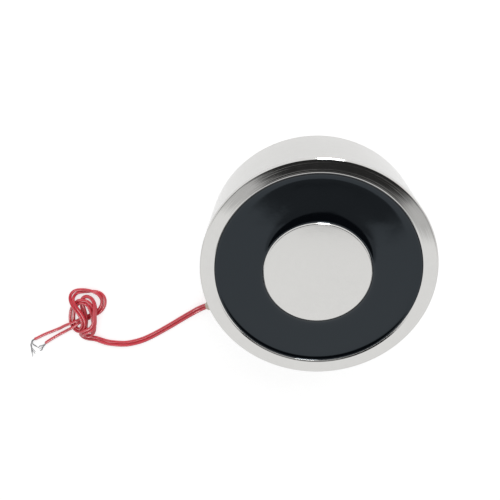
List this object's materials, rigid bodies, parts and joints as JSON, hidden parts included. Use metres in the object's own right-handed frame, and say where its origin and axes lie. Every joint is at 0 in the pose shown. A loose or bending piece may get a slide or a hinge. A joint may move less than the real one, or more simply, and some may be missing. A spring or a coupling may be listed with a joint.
{
  "type": "holding electromagnet",
  "caption": "Round pot electromagnet: steel cup, pole core, potted coil, tapped hole in the back, and two knotted leads.",
  "frame": {"origin": "centre of the back face, which stands on the table", "axes": "+Z along the magnet's axis, from the back face to the pole face; the wire hole lies 42.4 degrees from +X towards +Y"},
  "size_m": [0.1906, 0.1427, 0.04],
  "materials": {
    "nickel_plated_steel": "turned steel, bright nickel plating",
    "black_epoxy": "cast epoxy, glossy",
    "bobbin_nylon": "moulded, natural",
    "enamelled_copper": "enamelled copper wire",
    "polyester_tape": "yellow polyester film tape",
    "tinned_solder": "tinned copper and solder",
    "cream_sleeving": "resin-coated fibre sleeving",
    "red_pvc": "soft PVC insulation, satin gloss"
  },
  "bodies": {
    "root": {"housing_cup": "nickel_plated_steel", "pole_core": "nickel_plated_steel", "potting_resin": "black_epoxy", "coil_bobbin": "bobbin_nylon", "coil_winding": "enamelled_copper", "winding_tape": "polyester_tape", "winding_tail_start": "enamelled_copper", "winding_tail_finish": "enamelled_copper", "splice_start": "tinned_solder", "splice_finish": "tinned_solder", "splice_sleeve_start": "cream_sleeving", "splice_sleeve_finish": "cream_sleeving", "lead_a_inner": "red_pvc", "lead_b_inner": "red_pvc", "exit_sleeve": "cream_sleeving", "lead_a": "red_pvc", "lead_b": "red_pvc", "lead_knot": "red_pvc", "lead_a_tail": "red_pvc", "lead_b_tail": "red_pvc", "tinned_end_a": "tinned_solder", "tinned_end_b": "tinned_solder"}
  },
  "joints": []
}
